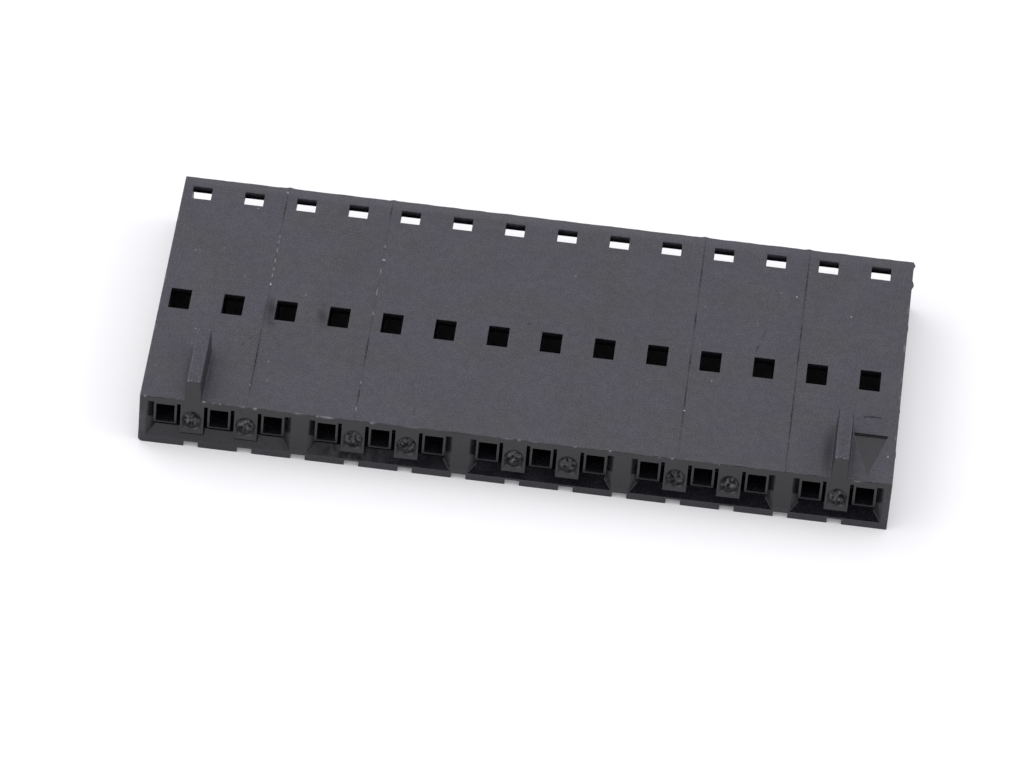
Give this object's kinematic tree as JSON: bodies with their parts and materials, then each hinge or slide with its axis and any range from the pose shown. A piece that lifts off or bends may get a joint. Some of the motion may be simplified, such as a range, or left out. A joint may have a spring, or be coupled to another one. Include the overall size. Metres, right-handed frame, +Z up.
{
  "type": "crimp connector housing",
  "caption": "Flat one-piece housing for a single row of crimp terminals, with pin mouths at the front, locking windows on top and wire entries at the rear.",
  "frame": {"origin": "centre of the bounding box at the underside, Z = 0 on the face that it rests on", "axes": "+X along the row of contacts towards the contact 1 mark, +Y from the mating face to the wire entries, +Z up through the top face"},
  "size_m": [0.0354, 0.0162, 0.0041],
  "materials": {
    "housing": "matte black glass-filled plastic with a fine spark-eroded texture"
  },
  "bodies": {
    "root": {"housing": "housing"}
  },
  "joints": []
}
